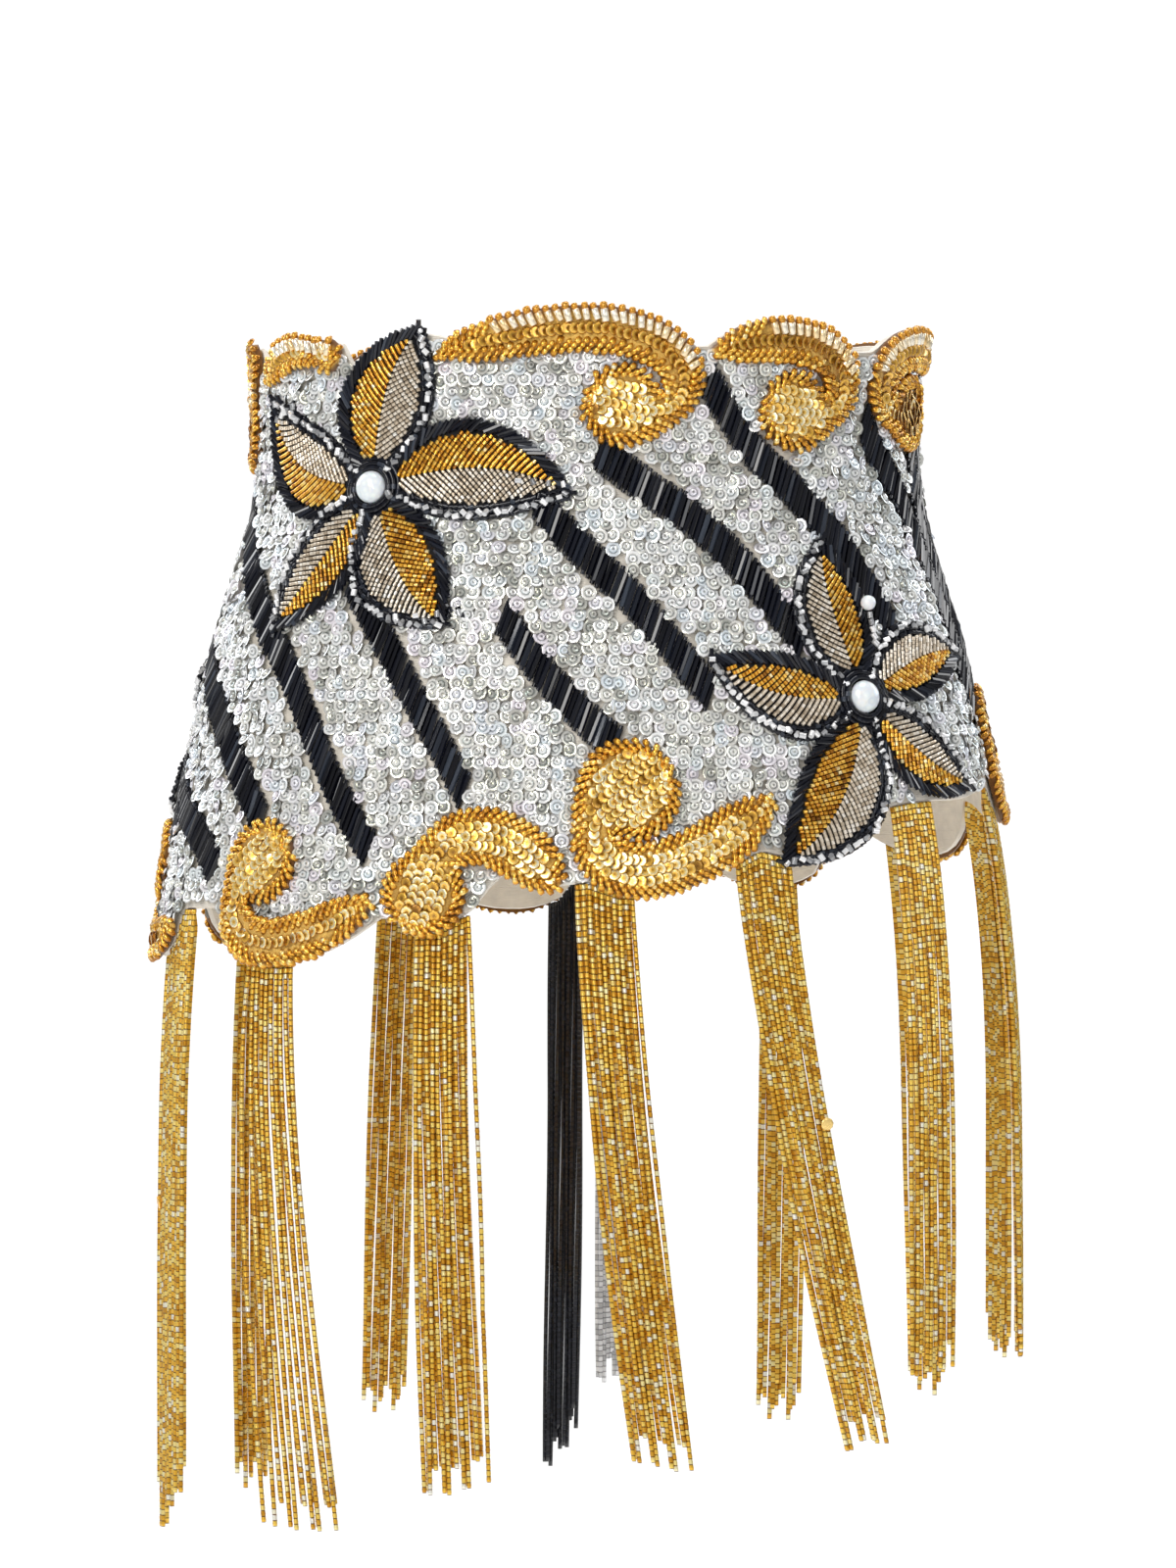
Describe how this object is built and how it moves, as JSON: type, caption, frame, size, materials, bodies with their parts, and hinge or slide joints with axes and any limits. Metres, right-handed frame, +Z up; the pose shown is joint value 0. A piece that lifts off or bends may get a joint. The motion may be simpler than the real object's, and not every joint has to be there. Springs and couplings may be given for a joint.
{
  "type": "belly dance hip belt",
  "caption": "Beaded belly dance hip belt: scalloped edges of raised scrolls, slanting stripes, flower motifs and bundles of hanging bead fringe.",
  "frame": {"origin": "middle of the wearer's natural waist, where the belt is held", "axes": "+Z up along the wearer's body, -Y towards the front, +X towards the wearer's left side"},
  "size_m": [0.3468, 0.2461, 0.4747],
  "materials": {
    "ground_cloth": "satin on a stiff backing, sewn over with clear sequins and beads",
    "gold_beads": "silver-lined amber glass beads, glossy",
    "petal_beads": "rows of gold and taupe glass seed beads, glossy",
    "black_beads": "opaque black glass beads, glossy",
    "clear_beads": "silver-lined clear glass beads, glossy",
    "pearl": "iridescent pearl cabochon",
    "hook_steel": "satin"
  },
  "bodies": {
    "root": {"flower_left": "petal_beads", "flower_right": "petal_beads", "flower_side": "petal_beads", "fringe_1": "gold_beads", "fringe_10": "gold_beads", "fringe_11": "gold_beads", "fringe_12": "gold_beads", "fringe_13": "gold_beads", "fringe_2": "gold_beads", "fringe_3": "gold_beads", "fringe_4": "gold_beads", "fringe_5": "gold_beads", "fringe_6": "gold_beads", "fringe_7": "gold_beads", "fringe_8": "gold_beads", "fringe_9": "gold_beads", "fringe_back_black": "black_beads", "fringe_back_clear": "clear_beads", "ground_back_left": "ground_cloth", "ground_back_right": "ground_cloth", "ground_front": "ground_cloth", "hem_scroll_1": "gold_beads", "hem_scroll_2": "gold_beads", "hem_scroll_3": "gold_beads", "hem_scroll_4": "gold_beads", "hem_scroll_5": "gold_beads", "hem_scroll_6": "gold_beads", "hem_scroll_7": "gold_beads", "hem_scroll_8": "gold_beads", "hem_scroll_9": "gold_beads", "hook_and_eye_1": "hook_steel", "hook_and_eye_2": "hook_steel", "hook_and_eye_3": "hook_steel", "hook_and_eye_4": "hook_steel", "hook_and_eye_5": "hook_steel", "stone_left": "pearl", "stone_right": "pearl", "stone_side": "pearl", "top_scroll_1": "gold_beads", "top_scroll_2": "gold_beads", "top_scroll_3": "gold_beads", "top_scroll_4": "gold_beads", "top_scroll_5": "gold_beads", "top_scroll_6": "gold_beads", "top_scroll_7": "gold_beads", "top_scroll_8": "gold_beads"}
  },
  "joints": []
}
